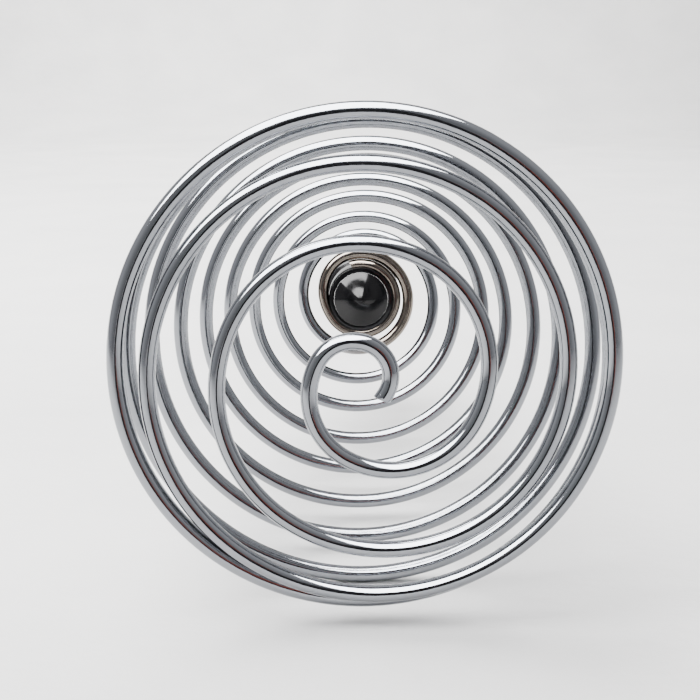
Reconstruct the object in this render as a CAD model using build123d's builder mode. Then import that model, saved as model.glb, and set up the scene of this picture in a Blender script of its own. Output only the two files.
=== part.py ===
from build123d import *
import math
import os

# Coil candle stand, bent from one length of round wire, lying on its side.
# The coil's axis is +Y and +Z is up. The flat foot spiral stands in the plane y = 0,
# and the coil rises and narrows from it to the neck, which holds the candle cup.
# The origin is on the axis, in the face of the foot that the stand rests on.

# Driving dimensions, in millimetres and turns
wire_diameter = 4.0
wire_gap = 0.05          # between turns that lie side by side
rim_radius = 57.0        # centreline of the foot's outer edge
coil_pitch = 18.8
coil_turns = 7.5         # from the rim to the neck, at the full pitch
eye_radius = 12.8        # centreline of the turn that grips the cup
eye_wrap = 0.7           # how much of a turn grips it
rim_start_angle = 62.0   # where the foot spiral runs into the rim, degrees from +X
step_start = 0.53        # turns from +X, where the rim starts to climb over the foot's outer bend
step_length = 0.27       # turns that the climb takes
ramp = 0.4               # turns in which the full pitch sets in and dies out
pitch_start = 0.84       # turns from +X, in the middle of the ramp
neck_close = 0.75        # turns in which the neck closes in beside the eye

# Radius of the coil's centreline after each whole turn from +X, as shares of rim_radius
coil_shares = (1.0, 1.012, 1.016, 0.933, 0.870, 0.777, 0.695, 0.568, 0.461)

# Bends of the foot spiral from the rim inwards, a quarter turn each, as shares of rim_radius
foot_outer_bends = (0.989, 0.954, 0.882, 0.861)
foot_middle_bends = (0.802, 0.723, 0.646, 0.565)
foot_inner_bends = (0.484, 0.377, 0.296, 0.163)
hook_bend = 0.139        # the last bend, at the wire's free end
hook_angle = 101.0
end_chamfer = 0.5        # on the wire's two sheared ends

candle_diameter = 22.0
candle_clearance = 0.3   # radial, between candle and cup
cup_wall = 0.8
cup_depth = 24.0
cup_lip = 3.4            # how far the cup's mouth flares
cup_flare = 1.0          # how far its foot is flared under the eye
fit_gap = 0.04           # radial, between eye and cup and between cup and its floor
floor_thickness = 1.0
floor_slope = 24.0       # of the floor's blunt cone, degrees
floor_nose = 4.0         # radius of the cone's rounded tip

# Derived sizes
wire_radius = wire_diameter / 2
turn_spacing = wire_diameter + wire_gap
quarter = 90.0
bends_per_turn = 8
rim_start = rim_start_angle / 360
pitch_end = pitch_start + coil_turns
neck_start = pitch_end + ramp / 2
eye_start = neck_start + 1.05
eye_end = eye_start + eye_wrap
neck_radius = eye_radius + 2 * turn_spacing
neck_y = wire_radius + turn_spacing + coil_pitch * coil_turns
cup_radius = candle_diameter / 2 + candle_clearance
tube_radius = eye_radius - wire_radius - fit_gap
flare_reach = wire_radius + fit_gap - cup_flare
shoulder_y = neck_y + wire_radius + fit_gap
mouth_y = shoulder_y + cup_wall + cup_depth
foot_y = neck_y - math.sqrt((wire_radius + fit_gap) ** 2 - flare_reach**2) - cup_wall


def smooth(x):
    """Smooth step from 0 to 1 as x goes from 0 to 1."""
    x = min(max(x, 0.0), 1.0)
    return x * x * (3 - 2 * x)


def eased_length(x):
    """Length covered at x by a slope that eases in from 0 to 1 over one unit around x = 0."""
    x = x + 0.5
    if x <= 0:
        return 0.0
    if x >= 1:
        return x - 0.5
    return x**3 - x**4 / 2


def wire_radius_at(turn):
    """Distance of the wire's centreline from the coil's axis."""
    if turn > neck_start:
        left = 1 - min((turn - neck_start) / neck_close, 1.0)
        hook_start = neck_start + neck_close
        hooking = smooth((turn - hook_start) / (eye_start - hook_start))
        return eye_radius + turn_spacing * (1 + left**2 - hooking)
    places = list(range(len(coil_shares))) + [neck_start]
    radii = [share * rim_radius for share in coil_shares] + [neck_radius]
    number = min(int(turn), len(places) - 2)
    span = places[number + 1] - places[number]
    slopes = []
    for at in (number, number + 1):
        if at == 0:
            slopes.append(0.0)
        elif at == len(places) - 1:
            slopes.append(-2 * turn_spacing / neck_close * span)
        else:
            rise = (radii[at + 1] - radii[at - 1]) / (places[at + 1] - places[at - 1])
            slopes.append(rise * span)
    x = (turn - places[number]) / span
    start_part = radii[number] * (1 - smooth(x)) + slopes[0] * x * (1 - x) ** 2
    return start_part + radii[number + 1] * smooth(x) - slopes[1] * x**2 * (1 - x)


def wire_y_at(turn):
    """Height of the wire's centreline above the foot's face, along the axis."""
    climb = turn_spacing * smooth((turn - step_start) / step_length)
    begun = eased_length((turn - pitch_start) / ramp) * ramp
    ended = eased_length((turn - pitch_end) / ramp) * ramp
    return wire_radius + climb + coil_pitch * (begun - ended)


def wire_point(turn):
    """Centreline of the coil after so many turns from +X, anticlockwise as seen from the foot."""
    angle = 2 * math.pi * turn
    radius = wire_radius_at(turn)
    return Vector(radius * math.cos(angle), wire_y_at(turn), radius * math.sin(angle))


def wire_heading(turn):
    """Unit tangent of the centreline."""
    return (wire_point(turn + 0.0005) - wire_point(turn - 0.0005)).normalized()


def make_coil(first, last, label, free_end=False):
    """One stretch of the coil as a solid wire, bent in pairs of arcs that meet smoothly."""
    count = math.ceil((last - first) * bends_per_turn - 0.01)
    step = (last - first) / count
    with BuildPart() as stretch:
        with BuildLine() as path:
            for number in range(count):
                turn = first + step * number
                start, end = wire_point(turn), wire_point(turn + step)
                leaving, arriving = wire_heading(turn), wire_heading(turn + step)
                chord = end - start
                along = chord.dot(leaving + arriving)
                bending = 2 * (1 - leaving.dot(arriving))
                reach = (math.sqrt(along**2 + bending * chord.dot(chord)) - along) / bending
                middle = (start + end + (leaving - arriving) * reach) / 2
                first_arc = TangentArc(start, middle, tangent=leaving)
                TangentArc(middle, end, tangent=first_arc % 1)
        with BuildSketch(Plane(origin=path.line @ 0, z_dir=path.line % 0)):
            Circle(wire_radius)
        sweep(path=path.line)
        if free_end:
            sheared = stretch.faces().filter_by(GeomType.PLANE).sort_by_distance(path.line @ 1)[0]
            chamfer(sheared.edges(), end_chamfer)
    stretch.part.label = label
    return stretch


def make_foot(state, bends, label, last_angle=quarter, free_end=False):
    """One stretch of the flat foot spiral, bent clockwise from the rim inwards.

    state is the wire's x, z and heading in radians where the stretch starts.
    """
    x, z, heading = state
    with BuildPart() as stretch:
        with BuildLine() as path:
            for number, share in enumerate(bends):
                angle = math.radians(last_angle if number == len(bends) - 1 else quarter)
                radius = share * rim_radius
                centre_x = x + radius * math.sin(heading)
                centre_z = z - radius * math.cos(heading)
                points = [
                    Vector(
                        centre_x - radius * math.sin(heading - turned),
                        wire_radius,
                        centre_z + radius * math.cos(heading - turned),
                    )
                    for turned in (0, angle / 2, angle)
                ]
                ThreePointArc(*points)
                x, z, heading = points[2].X, points[2].Z, heading - angle
        with BuildSketch(Plane(origin=path.line @ 0, z_dir=path.line % 0)):
            Circle(wire_radius)
        sweep(path=path.line)
        if free_end:
            sheared = stretch.faces().filter_by(GeomType.PLANE).sort_by_distance(path.line @ 1)[0]
            chamfer(sheared.edges(), end_chamfer)
    stretch.part.label = label
    return stretch, (x, z, heading)


os.makedirs("parts", exist_ok=True)

# Foot spiral
rim_angle = math.radians(rim_start_angle)
spiral_end = (
    rim_radius * math.cos(rim_angle),
    rim_radius * math.sin(rim_angle),
    rim_angle - math.pi / 2,
)
foot_outer, spiral_end = make_foot(spiral_end, foot_outer_bends, "foot_outer")
foot_middle, spiral_end = make_foot(spiral_end, foot_middle_bends, "foot_middle")
foot_inner, spiral_end = make_foot(
    spiral_end, foot_inner_bends + (hook_bend,), "foot_inner", hook_angle, free_end=True
)
for stretch in (foot_outer, foot_middle, foot_inner):
    export_step(stretch.part, f"parts/{stretch.part.label}.step")

# Coil, a turn to a node
whole_turns = int(neck_start - rim_start)
for number in range(whole_turns):
    first = rim_start + number
    label = "rim_turn" if number == 0 else f"coil_turn_{number}"
    turn = make_coil(first, first + 1, label)
    export_step(turn.part, f"parts/{label}.step")
neck = make_coil(rim_start + whole_turns, eye_end, "neck_eye", free_end=True)
export_step(neck.part, "parts/neck_eye.step")

# Candle cup: a stepped tube whose foot is flared under the eye, with a flared mouth
lip_x = cup_radius + cup_lip
lip_slant = math.sqrt(0.5)
foot_x = tube_radius + cup_flare - cup_wall / 2
inner_x = tube_radius - cup_wall
with BuildPart() as candle_cup:
    with BuildSketch(Plane.XY):
        with BuildLine():
            Line((inner_x, foot_y), (foot_x, foot_y))
            ThreePointArc(
                (foot_x, foot_y),
                (foot_x + cup_wall / 2, foot_y + cup_wall / 2),
                (foot_x, foot_y + cup_wall),
            )
            Polyline(
                (foot_x, foot_y + cup_wall),
                (tube_radius, foot_y + cup_wall),
                (tube_radius, shoulder_y),
                (cup_radius + cup_wall, shoulder_y),
                (cup_radius + cup_wall, mouth_y - cup_lip),
            )
            outer_bend = (cup_lip - cup_wall) * lip_slant
            ThreePointArc(
                (cup_radius + cup_wall, mouth_y - cup_lip),
                (lip_x - outer_bend, mouth_y - cup_lip + outer_bend),
                (lip_x, mouth_y - cup_wall),
            )
            ThreePointArc(
                (lip_x, mouth_y - cup_wall),
                (lip_x + cup_wall / 2, mouth_y - cup_wall / 2),
                (lip_x, mouth_y),
            )
            inner_bend = cup_lip * lip_slant
            ThreePointArc(
                (lip_x, mouth_y),
                (lip_x - inner_bend, mouth_y - cup_lip + inner_bend),
                (cup_radius, mouth_y - cup_lip),
            )
            Polyline(
                (cup_radius, mouth_y - cup_lip),
                (cup_radius, shoulder_y + cup_wall),
                (inner_x, shoulder_y + cup_wall),
                (inner_x, foot_y),
            )
        make_face()
    revolve(axis=Axis.Y)
candle_cup.part.label = "candle_cup"
export_step(candle_cup.part, "parts/candle_cup.step")

# Cup floor: a blunt cone pressed into the cup's foot, its tip away from the candle
floor_x = inner_x - fit_gap
slope = math.radians(floor_slope)
nose_y = foot_y - floor_x * math.tan(slope) + floor_nose / math.cos(slope)
inner_nose = floor_nose - floor_thickness
with BuildPart() as cup_floor:
    with BuildSketch(Plane.XY):
        with BuildLine():
            CenterArc((0, nose_y), floor_nose, -90, floor_slope)
            Line(
                (floor_nose * math.sin(slope), nose_y - floor_nose * math.cos(slope)),
                (floor_x, foot_y),
            )
            Line((floor_x, foot_y), (floor_x, foot_y + floor_thickness / math.cos(slope)))
            Line(
                (floor_x, foot_y + floor_thickness / math.cos(slope)),
                (inner_nose * math.sin(slope), nose_y - inner_nose * math.cos(slope)),
            )
            CenterArc((0, nose_y), inner_nose, floor_slope - 90, -floor_slope)
            Line((0, nose_y - inner_nose), (0, nose_y - floor_nose))
        make_face()
    revolve(axis=Axis.Y)
cup_floor.part.label = "cup_floor"
export_step(cup_floor.part, "parts/cup_floor.step")
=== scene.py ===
"""A coil candle stand lying on its side: one bent wire and the black cup that its eye grips."""

import logging
import math
from dataclasses import dataclass, field
from enum import Enum

import bpy
import numpy as np
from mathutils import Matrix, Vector
from mathutils.kdtree import KDTree

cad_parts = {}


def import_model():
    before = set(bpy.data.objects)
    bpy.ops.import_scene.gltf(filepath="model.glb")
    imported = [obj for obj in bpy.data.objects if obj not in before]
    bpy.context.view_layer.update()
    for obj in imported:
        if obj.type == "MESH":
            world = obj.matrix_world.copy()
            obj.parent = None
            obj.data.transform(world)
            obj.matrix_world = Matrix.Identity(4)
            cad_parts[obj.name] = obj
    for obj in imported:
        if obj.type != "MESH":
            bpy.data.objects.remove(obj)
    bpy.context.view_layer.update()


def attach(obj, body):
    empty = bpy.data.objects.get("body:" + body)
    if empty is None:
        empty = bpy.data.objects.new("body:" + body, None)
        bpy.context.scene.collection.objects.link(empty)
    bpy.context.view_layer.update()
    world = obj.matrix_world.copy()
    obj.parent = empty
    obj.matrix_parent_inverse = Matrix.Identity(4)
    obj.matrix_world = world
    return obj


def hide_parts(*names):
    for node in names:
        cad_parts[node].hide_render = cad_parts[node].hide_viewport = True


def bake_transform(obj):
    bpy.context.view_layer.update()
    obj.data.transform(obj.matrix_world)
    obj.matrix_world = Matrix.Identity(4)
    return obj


MM = 0.001

logging.basicConfig(level=logging.INFO, format="%(levelname)s %(message)s")
log = logging.getLogger("coil_stand")


class Body(Enum):
    """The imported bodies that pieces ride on."""

    STAND = "stand"
    SOCKET = "socket"


class Slot(Enum):
    """The record's material slots."""

    WIRE = "wire"
    CUP = "cup"
    FLOOR = "floor"


def deselect_all() -> None:
    """Leaves nothing selected, so that an operator acts only on what is made next."""
    if bpy.context.object is not None and bpy.context.object.mode != "OBJECT":
        bpy.ops.object.mode_set(mode="OBJECT")
    bpy.ops.object.select_all(action="DESELECT")


def make_active(piece: bpy.types.Object) -> None:
    """Selects one object and makes it the active one.

    Args:
        piece: the object that the next operator works on.
    """
    deselect_all()
    piece.select_set(True)
    bpy.context.view_layer.objects.active = piece


def smooth_step(x: float) -> float:
    """A smooth step from 0 to 1 as x goes from 0 to 1."""
    x = min(max(x, 0.0), 1.0)
    return x * x * (3 - 2 * x)


def eased_length(x: float) -> float:
    """The length covered at x by a slope that eases in from 0 to 1 over one unit around 0."""
    x = x + 0.5
    if x <= 0:
        return 0.0
    if x >= 1:
        return x - 0.5
    return x**3 - x**4 / 2


# ---------------------------------------------------------------------------------------
# Finishes
# ---------------------------------------------------------------------------------------


class NodeSheet:
    """A material's node tree, with short calls to add and join nodes."""

    def __init__(self, name: str) -> None:
        """Makes an empty material with a Principled shader.

        Args:
            name: the material's name.
        """
        self.material = bpy.data.materials.new(name)
        self.material.use_nodes = True
        self.tree = self.material.node_tree
        self.tree.nodes.clear()
        self.output = self.tree.nodes.new("ShaderNodeOutputMaterial")
        self.shader = self.tree.nodes.new("ShaderNodeBsdfPrincipled")
        self.join(self.shader, "BSDF", self.output, "Surface")

    def add(self, kind: str, **settings: object) -> bpy.types.Node:
        """Adds a node.

        Args:
            kind: the node's Blender type.
            **settings: attributes to set on it.

        Returns:
            The new node.
        """
        node = self.tree.nodes.new(kind)
        for name, value in settings.items():
            setattr(node, name, value)
        return node

    def join(
        self, source: bpy.types.Node, out: object, target: bpy.types.Node, into: object
    ) -> None:
        """Joins a node's output to another's input.

        Args:
            source: the node that gives the value.
            out: its output's name or number.
            target: the node that takes it.
            into: its input's name or number.
        """
        self.tree.links.new(source.outputs[out], target.inputs[into])

    def set(self, node: bpy.types.Node, **values: object) -> None:
        """Sets constants on a node's inputs; an underscore in a name stands for a space.

        Args:
            node: the node.
            **values: input names and their values.
        """
        for name, value in values.items():
            node.inputs[name.replace("_", " ")].default_value = value

    def noise(
        self, scale: float, detail: float, stretch: tuple[float, float, float]
    ) -> bpy.types.Node:
        """Noise on Object coordinates.

        Args:
            scale: the noise's scale per metre.
            detail: its octaves.
            stretch: how much it is squeezed along X, Y and Z.

        Returns:
            The noise node.
        """
        place = self.add("ShaderNodeTexCoord")
        mapping = self.add("ShaderNodeMapping")
        mapping.inputs["Scale"].default_value = stretch
        noise = self.add("ShaderNodeTexNoise")
        self.set(noise, Scale=scale, Detail=detail, Roughness=0.55)
        self.join(place, "Object", mapping, "Vector")
        self.join(mapping, "Vector", noise, "Vector")
        return noise

    def ramp(
        self, source: bpy.types.Node, out: object, stops: list[tuple[float, object]]
    ) -> bpy.types.Node:
        """A colour ramp over a value.

        Args:
            source: the node that gives the value.
            out: its output.
            stops: places and their grey values or colours.

        Returns:
            The ramp node.
        """
        ramp = self.add("ShaderNodeValToRGB")
        elements = ramp.color_ramp.elements
        while len(elements) < len(stops):
            elements.new(0.5)
        for element, (place, shade) in zip(elements, stops):
            element.position = place
            colour = (shade, shade, shade) if isinstance(shade, (int, float)) else shade
            element.color = (*colour, 1.0)
        self.join(source, out, ramp, "Fac")
        return ramp

    def bump(
        self, source: bpy.types.Node, out: object, strength: float, distance: float
    ) -> bpy.types.Node:
        """Bump from a value, joined to the shader.

        Args:
            source: the node that gives the height.
            out: its output.
            strength: the bump's strength.
            distance: its depth, in metres.

        Returns:
            The bump node.
        """
        bump = self.add("ShaderNodeBump")
        self.set(bump, Strength=strength, Distance=distance)
        self.join(source, out, bump, "Height")
        self.join(bump, "Normal", self.shader, "Normal")
        return bump


@dataclass(frozen=True)
class PolishedWire:
    """Polished chrome on drawn wire, with drawing lines, and a brown reflection painted at the
    neck.
    """

    plain: tuple[float, float, float] = (0.215, 0.224, 0.240)
    # painted reflection: the brown of a thing that the neck's turns mirror, painted into their base
    # colour
    reflection_tint: tuple[float, float, float] = (0.165, 0.142, 0.121)
    roughness: float = 0.05
    line_count: float = 9.0
    line_depth: float = 0.000012

    def make(self) -> bpy.types.Material:
        """Builds the material.

        Returns:
            The chrome material.
        """
        sheet = NodeSheet("polished_wire")
        sheet.set(sheet.shader, Metallic=1.0, Roughness=self.roughness)
        # painted reflection: a brown tint in the base colour on the neck's turns, standing for a
        # mirrored brown thing
        shade = sheet.add("ShaderNodeAttribute", attribute_name="painted_reflection")
        colour = sheet.ramp(shade, "Fac", [(0.0, self.plain), (1.0, self.reflection_tint)])
        sheet.join(colour, "Color", sheet.shader, "Base Color")
        cloud = sheet.noise(90.0, 3.0, (1.0, 1.0, 1.0))
        sheen = [(0.3, self.roughness * 0.8), (0.75, self.roughness * 1.9)]
        gloss = sheet.ramp(cloud, "Fac", sheen)
        sheet.join(gloss, "Color", sheet.shader, "Roughness")
        lines = sheet.add("ShaderNodeAttribute", attribute_name="drawn")
        streak = sheet.add("ShaderNodeTexNoise")
        sheet.set(streak, Scale=self.line_count, Detail=4.0, Roughness=0.65)
        sheet.join(lines, "Vector", streak, "Vector")
        sheet.bump(streak, "Fac", 0.5, self.line_depth)
        return sheet.material


@dataclass(frozen=True)
class GlossEnamel:
    """Gloss black enamel with a faint orange peel and a trace of dust."""

    name: str = "gloss_enamel"
    colour: tuple[float, float, float] = (0.003, 0.003, 0.0035)
    dust: tuple[float, float, float] = (0.010, 0.010, 0.011)
    roughness: float = 0.06
    peel_scale: float = 420.0
    peel_depth: float = 0.00002

    def make(self) -> bpy.types.Material:
        """Builds the material.

        Returns:
            The enamel material.
        """
        sheet = NodeSheet(self.name)
        sheet.set(sheet.shader, Roughness=self.roughness, IOR=1.34)
        cloud = sheet.noise(300.0, 5.0, (1.0, 1.0, 1.0))
        colour = sheet.ramp(cloud, "Fac", [(0.55, self.colour), (0.8, self.dust)])
        sheet.join(colour, "Color", sheet.shader, "Base Color")
        gloss = sheet.ramp(cloud, "Fac", [(0.4, self.roughness), (0.8, self.roughness * 2.5)])
        sheet.join(gloss, "Color", sheet.shader, "Roughness")
        peel = sheet.noise(self.peel_scale, 2.0, (1.0, 1.0, 1.0))
        sheet.bump(peel, "Fac", 0.3, self.peel_depth)
        return sheet.material


@dataclass(frozen=True)
class PaleCloth:
    """An off-white table cloth, finely woven and slightly creased."""

    light: tuple[float, float, float] = (0.82, 0.812, 0.80)
    shade: tuple[float, float, float] = (0.75, 0.745, 0.737)

    def make(self) -> bpy.types.Material:
        """Builds the material.

        Returns:
            The cloth material.
        """
        sheet = NodeSheet("pale_cloth")
        sheet.set(sheet.shader, Roughness=0.85, Sheen_Weight=0.1)
        cloud = sheet.noise(9.0, 4.0, (1.0, 1.0, 1.0))
        colour = sheet.ramp(cloud, "Fac", [(0.35, self.shade), (0.65, self.light)])
        sheet.join(colour, "Color", sheet.shader, "Base Color")
        crease = sheet.noise(14.0, 8.0, (1.0, 1.6, 1.0))
        sheet.bump(crease, "Fac", 0.5, 0.006)
        return sheet.material


# ---------------------------------------------------------------------------------------
# The wire
# ---------------------------------------------------------------------------------------


@dataclass
class BentWire:
    """The stand's single wire: foot spiral, coil and neck. Sizes are in millimetres and turns."""

    radius: float = 2.0
    turn_spacing: float = 4.05
    rim_radius: float = 57.0
    coil_pitch: float = 18.8
    coil_turns: float = 7.5
    eye_radius: float = 12.8
    eye_wrap: float = 0.7
    rim_start_angle: float = 62.0
    step_start: float = 0.53
    step_length: float = 0.27
    ramp: float = 0.4
    pitch_start: float = 0.84
    neck_close: float = 0.75
    coil_shares: tuple[float, ...] = (1.0, 1.012, 1.016, 0.933, 0.870, 0.777, 0.695, 0.568, 0.461)
    foot_bends: tuple[float, ...] = (
        0.989, 0.954, 0.882, 0.861, 0.802, 0.723, 0.646, 0.565, 0.484, 0.377, 0.296, 0.163,
    )
    hook_bend: float = 0.139
    hook_angle: float = 101.0
    stations: int = 150
    sides_level: int = 10
    shear_tilt: float = 16.0
    edge_break: float = 0.28
    neck_margin: float = 3.0
    pitch_end: float = field(init=False)
    neck_start: float = field(init=False)
    eye_start: float = field(init=False)
    eye_end: float = field(init=False)
    rim_start: float = field(init=False)

    def __post_init__(self) -> None:
        """Works out the turns at which the coil, the neck and the eye begin and end."""
        self.pitch_end = self.pitch_start + self.coil_turns
        self.neck_start = self.pitch_end + self.ramp / 2
        self.eye_start = self.neck_start + 1.05
        self.eye_end = self.eye_start + self.eye_wrap
        self.rim_start = self.rim_start_angle / 360

    @property
    def neck_radius(self) -> float:
        """The widest radius of the neck's flat turns."""
        return self.eye_radius + 2 * self.turn_spacing

    @property
    def neck_height(self) -> float:
        """The height of the neck's flat turns above the foot's face."""
        return self.radius + self.turn_spacing + self.coil_pitch * self.coil_turns

    def reach_at(self, turn: float) -> float:
        """The centreline's distance from the coil's axis after so many turns."""
        if turn > self.neck_start:
            left = 1 - min((turn - self.neck_start) / self.neck_close, 1.0)
            begun = self.neck_start + self.neck_close
            hooking = smooth_step((turn - begun) / (self.eye_start - begun))
            return self.eye_radius + self.turn_spacing * (1 + left**2 - hooking)
        places = [*range(len(self.coil_shares)), self.neck_start]
        radii = [share * self.rim_radius for share in self.coil_shares] + [self.neck_radius]
        slopes = [0.0]
        for at in range(1, len(places) - 1):
            slopes.append((radii[at + 1] - radii[at - 1]) / (places[at + 1] - places[at - 1]))
        slopes.append(-2 * self.turn_spacing / self.neck_close)
        number = min(int(turn), len(places) - 2)
        span = places[number + 1] - places[number]
        x = (turn - places[number]) / span
        leaving = slopes[number] * span * x * (1 - x) ** 2
        arriving = slopes[number + 1] * span * x**2 * (1 - x)
        rising = smooth_step(x)
        return radii[number] * (1 - rising) + radii[number + 1] * rising + leaving - arriving

    def height_at(self, turn: float) -> float:
        """The centreline's height above the foot's face after so many turns."""
        climb = self.turn_spacing * smooth_step((turn - self.step_start) / self.step_length)
        begun = eased_length((turn - self.pitch_start) / self.ramp) * self.ramp
        ended = eased_length((turn - self.pitch_end) / self.ramp) * self.ramp
        return self.radius + climb + self.coil_pitch * (begun - ended)

    def coil_line(self) -> list[Vector]:
        """The centreline from the rim to the eye's end.

        Returns:
            Points in millimetres, at even steps of angle.
        """
        count = round((self.eye_end - self.rim_start) * self.stations)
        points = []
        for number in range(count + 1):
            turn = self.rim_start + (self.eye_end - self.rim_start) * number / count
            angle = math.tau * turn
            reach = self.reach_at(turn)
            points.append(
                Vector((reach * math.cos(angle), self.height_at(turn), reach * math.sin(angle)))
            )
        return points

    def foot_line(self) -> list[Vector]:
        """The centreline of the foot spiral, from its free end out to the rim.

        Returns:
            Points in millimetres.
        """
        start = math.radians(self.rim_start_angle)
        x, z = self.rim_radius * math.cos(start), self.rim_radius * math.sin(start)
        heading = start - math.pi / 2
        bends = [(share * self.rim_radius, math.pi / 2) for share in self.foot_bends]
        bends.append((self.hook_bend * self.rim_radius, math.radians(self.hook_angle)))
        points = []
        for radius, angle in bends:
            centre_x = x + radius * math.sin(heading)
            centre_z = z - radius * math.cos(heading)
            steps = round(self.stations * angle / math.tau)
            for number in range(1, steps + 1):
                turned = heading - angle * number / steps
                points.append(
                    Vector(
                        (
                            centre_x - radius * math.sin(turned),
                            self.radius,
                            centre_z + radius * math.cos(turned),
                        )
                    )
                )
            x, z, heading = points[-1].x, points[-1].z, heading - angle
        return points[::-1]

    def bend(self) -> bpy.types.Object:
        """Bends the wire along its centreline and makes it a mesh.

        Returns:
            The wire's object, closed at both ends.
        """
        line = self.foot_line() + self.coil_line()
        deselect_all()
        bpy.ops.curve.primitive_nurbs_path_add(location=(0, 0, 0))
        piece = bpy.context.object
        piece.name = "bent_wire"
        curve = piece.data
        curve.splines.clear()
        spline = curve.splines.new("POLY")
        spline.points.add(len(line) - 1)
        for point, place in zip(spline.points, line):
            point.co = (*(place * MM), 1.0)
        spline.use_smooth = True
        curve.twist_mode = "MINIMUM"
        curve.bevel_depth = self.radius * MM
        curve.bevel_resolution = self.sides_level
        curve.use_fill_caps = True
        make_active(piece)
        bpy.ops.object.convert(target="MESH")
        piece.data.name = "bent_wire"
        bpy.ops.object.mode_set(mode="EDIT")
        bpy.ops.mesh.select_mode(type="VERT")
        bpy.ops.mesh.select_all(action="SELECT")
        bpy.ops.mesh.remove_doubles(threshold=0.002 * MM)
        bpy.ops.mesh.normals_make_consistent(inside=False)
        bpy.ops.object.mode_set(mode="OBJECT")
        self.shear_end(piece, line[0], line[1])
        self.shear_end(piece, line[-1], line[-2])
        self.mark_wire(piece, line)
        log.info("bent_wire: %d stations, %d faces", len(line), len(piece.data.polygons))
        return piece

    def shear_end(self, piece: bpy.types.Object, tip: Vector, before: Vector) -> None:
        """Joins one end's faces, tilts them as cutters leave them, and breaks the edge.

        Args:
            piece: the wire.
            tip: the centreline's end, in millimetres.
            before: the centreline's next point.
        """
        along = (tip - before).normalized()
        make_active(piece)
        bpy.ops.object.mode_set(mode="EDIT")
        bpy.ops.mesh.select_mode(type="FACE")
        bpy.ops.mesh.select_all(action="DESELECT")
        bpy.ops.object.mode_set(mode="OBJECT")
        for face in piece.data.polygons:
            at_tip = (face.center - tip * MM).length < self.radius * MM
            face.select = at_tip and face.normal.dot(along) > 0.9
        bpy.ops.object.mode_set(mode="EDIT")
        bpy.ops.mesh.dissolve_faces()
        tilt = math.radians(self.shear_tilt)
        bpy.ops.transform.rotate(value=tilt, orient_axis="Y", center_override=tip * MM)
        bpy.ops.transform.translate(value=along * self.radius * math.sin(tilt) * MM)
        bpy.ops.mesh.bevel(offset=self.edge_break * MM, segments=2, affect="EDGES")
        bpy.ops.object.mode_set(mode="OBJECT")

    def mark_wire(self, piece: bpy.types.Object, line: list[Vector]) -> None:
        """Writes each vertex's place along and around the wire, and how strong its painted brown
        reflection is.

        Args:
            piece: the wire.
            line: its centreline, in millimetres.
        """
        tree = KDTree(len(line))
        lengths = [0.0]
        for number, place in enumerate(line):
            tree.insert(place * MM, number)
            if number:
                lengths.append(lengths[-1] + (place - line[number - 1]).length)
        tree.balance()
        mesh = piece.data
        drawn = np.zeros((len(mesh.vertices), 3), np.float32)
        painted_reflection = np.zeros(len(mesh.vertices), np.float32)
        # painted reflection: how strongly the brown tint shows, full on the neck's inner flat turns
        reflection_reach = self.neck_radius - 0.8
        for vertex in mesh.vertices:
            place, number, _ = tree.find(vertex.co)
            ahead = line[min(number + 1, len(line) - 1)] - line[max(number - 1, 0)]
            side = vertex.co - place
            outward = Vector((place.x, 0.0, place.z)).normalized()
            binormal = ahead.normalized().cross(outward)
            around = Vector((side.dot(outward), side.dot(binormal))).normalized()
            drawn[vertex.index] = (around.x, around.y, lengths[number] * 0.012)
            above_margin = place.y / MM - self.neck_height + self.neck_margin
            at_neck = smooth_step(above_margin / self.neck_margin)
            reach = math.hypot(place.x, place.z) / MM
            painted_reflection[vertex.index] = at_neck * smooth_step((reflection_reach - reach) / 2.0)
        layer = mesh.attributes.new("drawn", "FLOAT_VECTOR", "POINT")
        layer.data.foreach_set("vector", drawn.ravel())
        layer = mesh.attributes.new("painted_reflection", "FLOAT", "POINT")
        layer.data.foreach_set("value", painted_reflection)
        make_active(piece)
        bpy.ops.object.shade_smooth_by_angle(angle=math.radians(40))

    def wire_nodes(self) -> list[str]:
        """The CAD nodes that this wire stands for."""
        coil = [f"coil_turn_{number}" for number in range(1, 8)]
        return ["foot_inner", "foot_middle", "foot_outer", "rim_turn", *coil, "neck_eye"]

    def build(self, finish: PolishedWire) -> bpy.types.Object:
        """Makes the wire, dresses it, and hides the CAD nodes that it stands for.

        Args:
            finish: the wire's finish.

        Returns:
            The finished wire.
        """
        piece = self.bend()
        piece.data.materials.clear()
        piece.data.materials.append(finish.make())
        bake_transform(piece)
        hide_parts(*self.wire_nodes())
        return piece


# ---------------------------------------------------------------------------------------
# The cup
# ---------------------------------------------------------------------------------------


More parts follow.
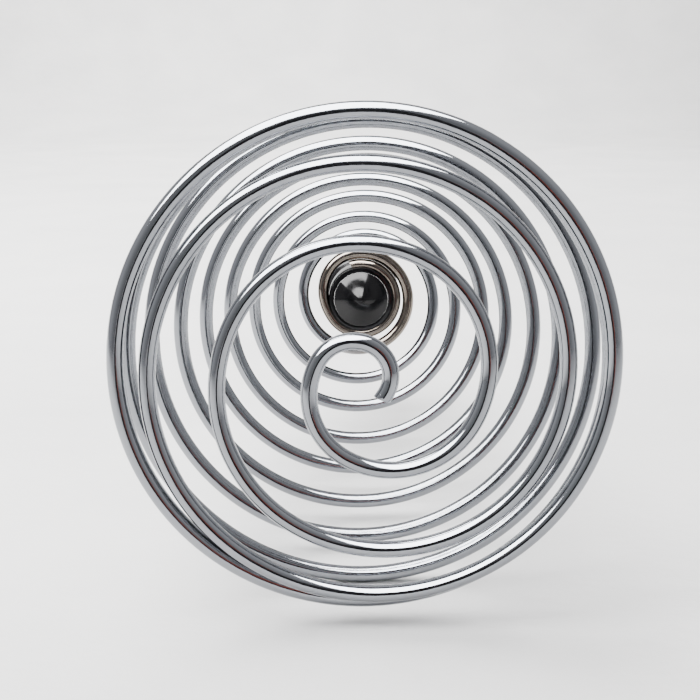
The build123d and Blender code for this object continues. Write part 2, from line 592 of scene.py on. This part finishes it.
@dataclass
class CandleCup:
    """The candle's cup, and the floor pressed into its foot. Sizes are in millimetres."""

    wire: BentWire
    candle_radius: float = 11.3
    wall: float = 0.8
    depth: float = 24.0
    lip: float = 3.4
    flare: float = 1.0
    fit_gap: float = 0.04
    floor_thickness: float = 1.0
    floor_slope: float = 24.0
    floor_nose: float = 4.0
    sides: int = 96
    lip_steps: int = 8
    nose_steps: int = 10

    @property
    def tube_radius(self) -> float:
        """The radius of the tube that goes through the eye."""
        return self.wire.eye_radius - self.wire.radius - self.fit_gap

    @property
    def foot_height(self) -> float:
        """The height of the flared foot's face above the stand's foot."""
        grip = self.wire.radius + self.fit_gap
        return self.wire.neck_height - math.sqrt(grip**2 - (grip - self.flare) ** 2) - self.wall

    def turn(self, name: str, profile: list[tuple[float, float]], closed: bool) -> bpy.types.Object:
        """Turns a profile about the coil's axis, ring by ring from a circle.

        Args:
            name: the piece's name.
            profile: radii and heights in millimetres, in order.
            closed: whether the last ring joins the first; if not, both ends close at the axis.

        Returns:
            The turned piece.
        """
        deselect_all()
        radius, height = profile[0]
        bpy.ops.mesh.primitive_circle_add(
            vertices=self.sides,
            radius=radius * MM,
            location=(0, height * MM, 0),
            rotation=(math.pi / 2, 0, 0),
        )
        piece = bpy.context.object
        piece.name = name
        bpy.ops.object.transform_apply(location=True, rotation=True, scale=True)
        bpy.ops.object.mode_set(mode="EDIT")
        bpy.ops.mesh.select_mode(type="EDGE")
        bpy.ops.mesh.select_all(action="SELECT")
        steps = profile[1:] + ([profile[0]] if closed else [])
        for next_radius, next_height in steps:
            bpy.ops.mesh.extrude_region_move(
                TRANSFORM_OT_translate={"value": (0, (next_height - height) * MM, 0)}
            )
            share = next_radius / radius
            bpy.ops.transform.resize(
                value=(share, 1, share), center_override=(0, next_height * MM, 0)
            )
            radius, height = next_radius, next_height
        bpy.ops.mesh.select_all(action="SELECT")
        bpy.ops.mesh.remove_doubles(threshold=0.002 * MM)
        bpy.ops.mesh.select_all(action="SELECT")
        bpy.ops.mesh.normals_make_consistent(inside=False)
        bpy.ops.object.mode_set(mode="OBJECT")
        bpy.ops.object.shade_smooth_by_angle(angle=math.radians(35))
        return piece

    def cup_profile(self) -> list[tuple[float, float]]:
        """The cup's section, from the inside of its foot round and back.

        Returns:
            Radii and heights in millimetres.
        """
        tube, wall, base = self.tube_radius, self.wall, self.foot_height
        shoulder = self.wire.neck_height + self.wire.radius + self.fit_gap
        mouth = shoulder + wall + self.depth
        edge = tube + self.flare - wall / 2
        outside = self.candle_radius + wall
        profile = [(tube - wall, base), (edge - 0.2, base)]
        for step in range(1, 7):
            angle = math.pi * (step / 6 - 0.5)
            rise = wall / 2 * (1 + math.sin(angle))
            profile.append((edge + wall / 2 * math.cos(angle), base + rise))
        profile += [(tube + 0.2, base + wall), (tube, base + wall + 0.2)]
        profile += [(tube, shoulder - 0.15), (tube + 0.15, shoulder), (outside - 0.5, shoulder)]
        profile += [(outside - 0.15, shoulder + 0.15), (outside, shoulder + 0.5)]
        lip_reach = self.candle_radius + self.lip
        for step in range(self.lip_steps + 1):
            angle = math.pi / 2 * step / self.lip_steps
            bend = self.lip - wall
            profile.append(
                (lip_reach - bend * math.cos(angle), mouth - self.lip + bend * math.sin(angle))
            )
        for step in range(1, 6):
            angle = math.pi * (step / 6 - 0.5)
            profile.append(
                (lip_reach + wall / 2 * math.cos(angle), mouth - wall / 2 * (1 - math.sin(angle)))
            )
        for step in range(self.lip_steps, -1, -1):
            angle = math.pi / 2 * step / self.lip_steps
            rise = self.lip * math.sin(angle)
            profile.append((lip_reach - self.lip * math.cos(angle), mouth - self.lip + rise))
        inside = self.candle_radius
        profile += [(inside, shoulder + wall + 0.3), (inside - 0.3, shoulder + wall)]
        profile += [(tube - wall + 0.2, shoulder + wall), (tube - wall, shoulder + wall - 0.2)]
        return profile

    def floor_profile(self) -> list[tuple[float, float]]:
        """The pressed floor's section, from its blunt tip out, round the edge and back.

        Returns:
            Radii and heights in millimetres.
        """
        reach = self.tube_radius - self.wall - self.fit_gap
        slope = math.radians(self.floor_slope)
        middle = self.foot_height - reach * math.tan(slope) + self.floor_nose / math.cos(slope)
        near, far = [], []
        for step in range(self.nose_steps + 1):
            angle = slope * step / self.nose_steps
            for side, depth in ((near, 0.0), (far, self.floor_thickness)):
                nose = self.floor_nose - depth
                side.append((max(nose * math.sin(angle), 0.001), middle - nose * math.cos(angle)))
        edge_back = self.foot_height + self.floor_thickness / math.cos(slope)
        foot, inset = self.foot_height, 0.25
        near += [(reach - inset, foot - inset * math.tan(slope)), (reach, foot)]
        far += [(reach, edge_back)]
        return near + far[::-1]

    def build(self, cup_finish: GlossEnamel, floor_finish: GlossEnamel) -> list[bpy.types.Object]:
        """Makes the cup and its floor, dresses them and lets them ride on the socket.

        Args:
            cup_finish: the cup's finish.
            floor_finish: the floor's finish.

        Returns:
            The finished pieces.
        """
        cup = self.turn("flared_cup", self.cup_profile(), closed=True)
        floor = self.turn("pressed_floor", self.floor_profile(), closed=False)
        jobs = (
            (cup, cup_finish, "candle_cup", Slot.CUP),
            (floor, floor_finish, "cup_floor", Slot.FLOOR),
        )
        for piece, finish, node, slot in jobs:
            piece.data.materials.clear()
            piece.data.materials.append(finish.make())
            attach(piece, Body.SOCKET.value)
            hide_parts(node)
            log.info("%s: %d faces, for %s", piece.name, len(piece.data.polygons), node)
        return [cup, floor]


# ---------------------------------------------------------------------------------------
# The studio
# ---------------------------------------------------------------------------------------


@dataclass
class Studio:
    """Pale cloth, soft light, and what the wire mirrors. Sizes are in metres and degrees."""

    floor_tilt: float = 6.8
    floor_half: float = 1.6
    sweep_radius: float = 0.5
    sweep_height: float = 1.3
    camera_place: tuple[float, float, float] = (-0.0028, -0.22305, 0.03934)
    camera_dip: float = 9.006
    camera_turn: float = 0.2
    camera_lens: float = 51.43
    sensor: float = 36.0
    softbox_power: float = 24.0
    glare_power: float = 90.0
    fill_power: float = 50.0
    card_gap: float = 0.03
    dark: tuple[float, float, float] = (0.004, 0.004, 0.005)
    russet: tuple[float, float, float] = (0.17, 0.03, 0.02)

    def lay_floor(self, finish: PaleCloth, wire: BentWire) -> bpy.types.Object:
        """Lays the cloth under the rim and sweeps it up behind.

        Args:
            finish: the cloth's finish.
            wire: the wire that lies on it.

        Returns:
            The cloth.
        """
        deselect_all()
        bpy.ops.mesh.primitive_plane_add(size=2 * self.floor_half, location=(0, 0, 0))
        cloth = bpy.context.object
        cloth.name = "table_cloth"
        bpy.ops.object.mode_set(mode="EDIT")
        bpy.ops.mesh.select_mode(type="EDGE")
        bpy.ops.mesh.select_all(action="DESELECT")
        bpy.ops.object.mode_set(mode="OBJECT")
        for edge in cloth.data.edges:
            ends = [cloth.data.vertices[index].co for index in edge.vertices]
            edge.select = all(end.y > self.floor_half - 0.01 for end in ends)
        bpy.ops.object.mode_set(mode="EDIT")
        steps = 16
        for step in range(steps):
            low, high = (math.pi / 2 * (step + part) / steps for part in (0, 1))
            move = (
                0,
                self.sweep_radius * (math.sin(high) - math.sin(low)),
                self.sweep_radius * (math.cos(low) - math.cos(high)),
            )
            bpy.ops.mesh.extrude_region_move(TRANSFORM_OT_translate={"value": move})
        bpy.ops.mesh.extrude_region_move(
            TRANSFORM_OT_translate={"value": (0, 0, self.sweep_height)}
        )
        bpy.ops.object.mode_set(mode="OBJECT")
        bpy.ops.object.shade_smooth()
        tilt = math.radians(self.floor_tilt)
        line = wire.foot_line() + wire.coil_line()
        low = max(place.y * math.tan(tilt) - place.z for place in line)
        cloth.location = (0, 0, -(low + wire.radius / math.cos(tilt)) * MM)
        cloth.rotation_euler = (tilt, 0, 0)
        log.info("table_cloth: %.1f mm below the axis at the foot", -cloth.location.z / MM)
        cloth.data.materials.append(finish.make())
        return cloth

    def add_area(
        self,
        name: str,
        place: tuple[float, float, float],
        aim: tuple[float, float, float],
        size: tuple[float, float],
        power: float,
        colour: tuple[float, float, float] = (1.0, 1.0, 1.0),
        mirrored: bool = True,
    ) -> bpy.types.Object:
        """Adds a rectangular soft light.

        Args:
            name: the light's name.
            place: where it stands.
            aim: what it points at.
            size: its width and height.
            power: its power in watts.
            colour: its colour.
            mirrored: whether the wire mirrors it.

        Returns:
            The light.
        """
        lamp = bpy.data.lights.new(name, "AREA")
        lamp.shape = "RECTANGLE"
        lamp.size, lamp.size_y = size
        lamp.energy = power
        lamp.color = colour
        holder = bpy.data.objects.new(name, lamp)
        bpy.context.scene.collection.objects.link(holder)
        holder.location = place
        holder.rotation_euler = (Vector(aim) - Vector(place)).to_track_quat("-Z", "Y").to_euler()
        holder.visible_camera = False
        holder.visible_glossy = mirrored
        return holder

    def add_card(
        self,
        name: str,
        place: tuple[float, float, float],
        aim: tuple[float, float, float],
        size: tuple[float, float],
        colour: tuple[float, float, float],
    ) -> bpy.types.Object:
        """Stands a coloured card where only the wire mirrors it.

        Args:
            name: the card's name.
            place: its middle.
            aim: what it faces.
            size: its width and height.
            colour: its colour.

        Returns:
            The card.
        """
        deselect_all()
        bpy.ops.mesh.primitive_plane_add(size=1.0, location=place)
        card = bpy.context.object
        card.name = name
        card.scale = (size[0], size[1], 1.0)
        card.rotation_euler = (Vector(aim) - Vector(place)).to_track_quat("Z", "Y").to_euler()
        sheet = NodeSheet(name)
        sheet.set(sheet.shader, Roughness=0.9)
        sheet.shader.inputs["Base Color"].default_value = (*colour, 1.0)
        card.data.materials.append(sheet.material)
        card.visible_camera = False
        card.visible_diffuse = False
        card.visible_shadow = False
        return card

    def light(self) -> None:
        """Sets the soft lights, then the cards that the wire mirrors."""
        self.add_area(
            "overhead_softbox",
            place=(-0.42, 0.12, 0.72),
            aim=(-0.05, 0.1, 0),
            size=(0.8, 0.8),
            power=self.softbox_power,
            mirrored=False,
        )
        glare = self.add_area(
            "overhead_glare",
            place=(-0.22, -0.25, 0.62),
            aim=(-0.1, 0.0, 0),
            size=(0.95, 1.0),
            power=self.glare_power,
        )
        glare.visible_diffuse = False
        self.add_area(
            "cloth_fill",
            place=(-0.3, 1.1, 1.2),
            aim=(-0.2, 1.5, 0),
            size=(1.4, 1.0),
            power=self.fill_power,
            mirrored=False,
        )
        x, y, _ = self.camera_place
        card_depth = y - self.card_gap
        self.add_card("dark_card", (x, card_depth, 0.0), (0, 0, 0), (0.08, 0.19), self.dark)
        russet_place = (x + 0.062, card_depth, -0.01)
        self.add_card("russet_card", russet_place, (0, 0, 0), (0.045, 0.08), self.russet)

    def paint_world(self) -> None:
        """Fills the room beyond the cloth: pale above, dim behind the viewer."""
        world = bpy.data.worlds.new("studio_room")
        bpy.context.scene.world = world
        world.use_nodes = True
        tree = world.node_tree
        tree.nodes.clear()
        out = tree.nodes.new("ShaderNodeOutputWorld")
        glow = tree.nodes.new("ShaderNodeBackground")
        place = tree.nodes.new("ShaderNodeTexCoord")
        split = tree.nodes.new("ShaderNodeSeparateXYZ")
        tree.links.new(place.outputs["Generated"], split.inputs["Vector"])
        depth = tree.nodes.new("ShaderNodeMapRange")
        depth.inputs["From Min"].default_value = -1.0
        depth.inputs["From Max"].default_value = 1.0
        tree.links.new(split.outputs["Y"], depth.inputs["Value"])
        shade = tree.nodes.new("ShaderNodeValToRGB")
        stops = [(0.0, 0.42), (0.15, 0.72), (0.35, 1.05), (0.6, 1.05), (1.0, 1.1)]
        elements = shade.color_ramp.elements
        while len(elements) < len(stops):
            elements.new(0.5)
        for element, (spot, grey) in zip(elements, stops):
            element.position = spot
            element.color = (grey, grey, grey * 1.03, 1.0)
        tree.links.new(depth.outputs["Result"], shade.inputs["Fac"])
        tree.links.new(shade.outputs["Color"], glow.inputs["Color"])
        glow.inputs["Strength"].default_value = 1.0
        tree.links.new(glow.outputs["Background"], out.inputs["Surface"])

    def set_camera(self) -> bpy.types.Object:
        """Stands the camera in front of the foot, a little above the coil's axis.

        Returns:
            The camera.
        """
        lens = bpy.data.cameras.new("camera")
        lens.lens = self.camera_lens
        lens.sensor_width = self.sensor
        lens.clip_start = 0.005
        camera = bpy.data.objects.new("camera", lens)
        bpy.context.scene.collection.objects.link(camera)
        camera.location = self.camera_place
        dip, turned = math.radians(self.camera_dip), math.radians(self.camera_turn)
        camera.rotation_euler = (math.pi / 2 - dip, 0, turned)
        bpy.context.scene.camera = camera
        return camera


def main() -> None:
    """Loads the frame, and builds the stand's pieces and the studio."""
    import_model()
    wire = BentWire()
    wire.build(PolishedWire())
    cup = CandleCup(wire)
    cup.build(GlossEnamel("cup_enamel"), GlossEnamel("floor_enamel"))
    studio = Studio()
    studio.lay_floor(PaleCloth(), wire)
    studio.light()
    studio.paint_world()
    studio.set_camera()


if __name__ == "__main__":
    main()
